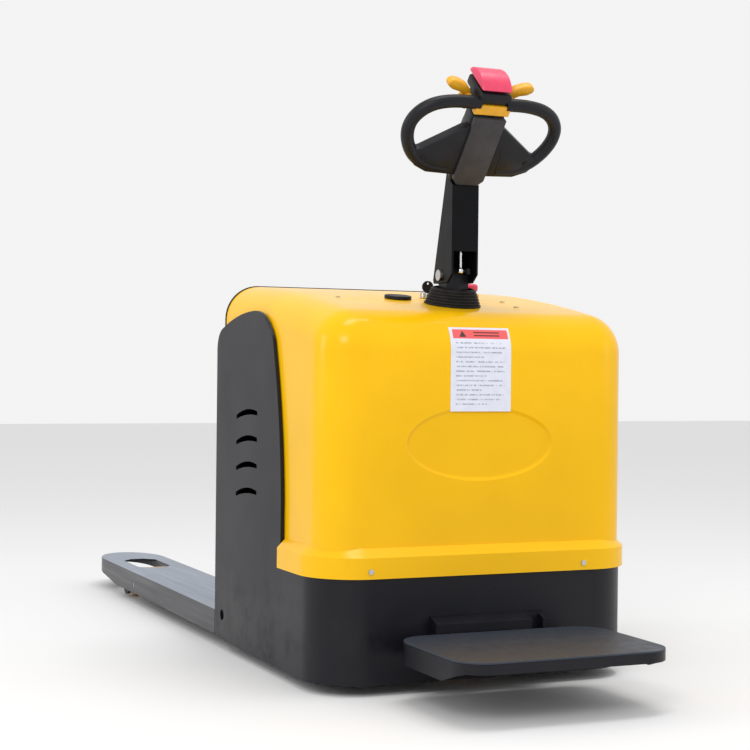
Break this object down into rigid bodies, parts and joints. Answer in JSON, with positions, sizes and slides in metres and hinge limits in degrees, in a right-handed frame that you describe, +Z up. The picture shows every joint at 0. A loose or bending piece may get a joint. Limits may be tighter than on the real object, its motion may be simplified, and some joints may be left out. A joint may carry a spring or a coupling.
{
  "type": "electric pallet truck",
  "caption": "Electric pallet truck with a folding rider pedal: yellow hood, black side plates, tiller with looped grips, drive unit, battery and lifting forks",
  "frame": {"origin": "the floor under the middle of the whole truck", "axes": "+Y from the operator's pedal towards the fork tips, +X to the right of someone facing the forks, +Z up"},
  "size_m": [0.7574, 2.252, 1.2972],
  "materials": {
    "yellow_plastic": "moulded, yellow",
    "yellow_trim": "moulded, yellow",
    "black_paint": "satin black paint",
    "grey_paint": "grey paint on the forks",
    "black_plastic": "black, fine grain",
    "brown_plastic": "dark brown-grey",
    "red_plastic": "red",
    "black_rubber": "matt",
    "steel": "machined",
    "chrome": "ground and chromed",
    "cast": "cast",
    "motor_paint": "black motor enamel",
    "polyurethane": "cast polyurethane",
    "card": "printed card",
    "tank_plastic": "natural polyethylene",
    "aluminium": "cast, finned"
  },
  "bodies": {
    "chassis": {"chassis_frame": "black_paint", "front_panel": "black_paint", "hood": "yellow_plastic", "hood_screws": "steel", "instruction_card": "card", "charge_gauge": "black_plastic", "key_switch": "steel", "stop_base": "yellow_trim", "tiller_boot": "black_rubber", "battery_tray": "black_paint", "battery_cells": "black_plastic", "motor_controller": "aluminium", "pump_motor": "motor_paint", "hydraulic_tank": "tank_plastic", "lift_cylinder": "black_paint", "hydraulic_hose": "black_rubber", "pedal_bracket": "black_paint", "pedal_pin": "steel", "pedal_bumpers": "black_rubber", "slew_ring_outer": "steel"},
    "drive_unit": {"slew_ring_inner": "steel", "gearbox": "cast", "drive_motor": "motor_paint", "magnetic_brake": "motor_paint", "steering_column": "black_paint", "tiller_pin": "steel"},
    "drive_wheel": {"drive_hub": "cast", "drive_tyre": "polyurethane", "wheel_nuts": "steel"},
    "tiller": {"tiller_arm": "black_plastic", "head_shell": "black_plastic", "head_cover": "brown_plastic", "head_band": "yellow_trim"},
    "gas_rod": {"gas_spring_rod": "chrome"},
    "gas_tube": {"gas_spring_tube": "black_paint"},
    "belly": {"belly_button": "red_plastic"},
    "throttle": {"throttle_paddles": "yellow_trim", "throttle_shaft": "steel"},
    "lift_key": {"lift_button": "black_plastic"},
    "lower_key": {"lower_button": "black_plastic"},
    "horn_key": {"horn_button": "black_plastic"},
    "key": {"ignition_key": "black_plastic"},
    "stop": {"stop_knob": "red_plastic"},
    "pedal": {"pedal_tray": "black_paint", "pedal_mat": "black_rubber"},
    "caster_left": {"caster_fork_left": "steel"},
    "caster_right": {"caster_fork_right": "steel"},
    "caster_left_wheel": {"caster_wheel_left": "black_rubber"},
    "caster_right_wheel": {"caster_wheel_right": "black_rubber"},
    "carriage": {"fork_carriage": "grey_paint", "lift_rod": "chrome", "rocker_pins": "steel"},
    "crank": {"crank_shaft": "steel"},
    "rods": {"push_rods": "steel"},
    "rocker_l": {"rocker_left": "black_paint", "roller_axle_left": "steel"},
    "rocker_r": {"rocker_right": "black_paint", "roller_axle_right": "steel"},
    "roller_l": {"load_roller_left": "polyurethane"},
    "roller_r": {"load_roller_right": "polyurethane"}
  },
  "joints": [
    {"name": "steer", "type": "hinge", "parent": "chassis", "child": "drive_unit", "pos_m": [0, -0.589, 0.25], "axis": [0, 0, 1], "range_deg": [-90, 90]},
    {"name": "drive_roll", "type": "hinge", "parent": "drive_unit", "child": "drive_wheel", "pos_m": [0, -0.589, 0.115], "axis": [1, 0, 0], "continuous": true},
    {"name": "tiller_tilt", "type": "hinge", "parent": "drive_unit", "child": "tiller", "pos_m": [0, -0.594, 0.868], "axis": [1, 0, 0], "range_deg": [0, 60], "deforming": ["tiller_boot"]},
    {"name": "gas_swing", "type": "hinge", "parent": "drive_unit", "child": "gas_rod", "pos_m": [0, -0.626, 0.877], "axis": [1, 0, 0], "range_deg": [0, 74.4]},
    {"name": "gas_stroke", "type": "slide", "parent": "gas_rod", "child": "gas_tube", "axis": [0, 0, -1], "range_m": [0, 0.015]},
    {"name": "belly_press", "type": "slide", "parent": "tiller", "child": "belly", "axis": [0, 0.6613, -0.7501], "range_m": [0, 0.006], "stiffness_N_per_m": 1500, "springref_m": -0.002},
    {"name": "throttle_turn", "type": "hinge", "parent": "tiller", "child": "throttle", "pos_m": [0, -0.73534, 1.23051], "axis": [1, 0, 0], "range_deg": [-25, 25], "stiffness_Nm_per_rad": 0.5},
    {"name": "lift_press", "type": "slide", "parent": "tiller", "child": "lift_key", "axis": [0, -0.7501, -0.6613], "range_m": [0, 0.003], "stiffness_N_per_m": 800, "springref_m": -0.001},
    {"name": "lower_press", "type": "slide", "parent": "tiller", "child": "lower_key", "axis": [0, -0.7501, -0.6613], "range_m": [0, 0.003], "stiffness_N_per_m": 800, "springref_m": -0.001},
    {"name": "horn_press", "type": "slide", "parent": "tiller", "child": "horn_key", "axis": [0, -0.7501, -0.6613], "range_m": [0, 0.003], "stiffness_N_per_m": 800, "springref_m": -0.001},
    {"name": "key_turn", "type": "hinge", "parent": "chassis", "child": "key", "pos_m": [-0.006, -0.472, 0.82271], "axis": [0, -0.1364, 0.9907], "range_deg": [0, 60]},
    {"name": "stop_press", "type": "slide", "parent": "chassis", "child": "stop", "axis": [0, 0.1343, -0.9909], "range_m": [0, 0.006]},
    {"name": "pedal_fold", "type": "hinge", "parent": "chassis", "child": "pedal", "pos_m": [0, -0.814, 0.112], "axis": [-1, 0, 0], "range_deg": [0, 88]},
    {"name": "caster_left_swivel", "type": "hinge", "parent": "chassis", "child": "caster_left", "pos_m": [-0.25, -0.564, 0.1], "axis": [0, 0, 1], "continuous": true},
    {"name": "caster_right_swivel", "type": "hinge", "parent": "chassis", "child": "caster_right", "pos_m": [0.25, -0.564, 0.1], "axis": [0, 0, 1], "continuous": true},
    {"name": "caster_left_spin", "type": "hinge", "parent": "caster_left", "child": "caster_left_wheel", "pos_m": [-0.25, -0.539, 0.0375], "axis": [1, 0, 0], "continuous": true},
    {"name": "caster_right_spin", "type": "hinge", "parent": "caster_right", "child": "caster_right_wheel", "pos_m": [0.25, -0.539, 0.0375], "axis": [1, 0, 0], "continuous": true},
    {"name": "fork_lift", "type": "slide", "parent": "chassis", "child": "carriage", "axis": [0, 0, 1], "range_m": [0, 0.115]},
    {"name": "crank_turn", "type": "hinge", "parent": "carriage", "child": "crank", "pos_m": [0, -0.052, 0.042], "axis": [-1, 0, 0], "range_deg": [0, 36.4]},
    {"name": "rod_push", "type": "slide", "parent": "carriage", "child": "rods", "axis": [0, 1, 0], "range_m": [0, 0.01874]},
    {"name": "rocker_left_swing", "type": "hinge", "parent": "carriage", "child": "rocker_l", "pos_m": [-0.2774, 0.651, 0.052], "axis": [-1, 0, 0], "range_deg": [0, 56.1]},
    {"name": "rocker_right_swing", "type": "hinge", "parent": "carriage", "child": "rocker_r", "pos_m": [0.2774, 0.651, 0.052], "axis": [-1, 0, 0], "range_deg": [0, 56.1]},
    {"name": "roller_left_spin", "type": "hinge", "parent": "rocker_l", "child": "roller_l", "pos_m": [-0.2774, 0.796, 0.04], "axis": [1, 0, 0], "continuous": true},
    {"name": "roller_right_spin", "type": "hinge", "parent": "rocker_r", "child": "roller_r", "pos_m": [0.2774, 0.796, 0.04], "axis": [1, 0, 0], "continuous": true}
  ],
  "couplings": [
    {"joint": "gas_swing", "follows": "tiller_tilt", "ratio": 1.24},
    {"joint": "gas_stroke", "follows": "tiller_tilt", "m_per_rad": 0.014324},
    {"joint": "crank_turn", "follows": "fork_lift", "rad_per_m": 5.5243},
    {"joint": "rod_push", "follows": "fork_lift", "ratio": 0.16296},
    {"joint": "rocker_left_swing", "follows": "fork_lift", "rad_per_m": 8.5142},
    {"joint": "rocker_right_swing", "follows": "fork_lift", "rad_per_m": 8.5142}
  ]
}
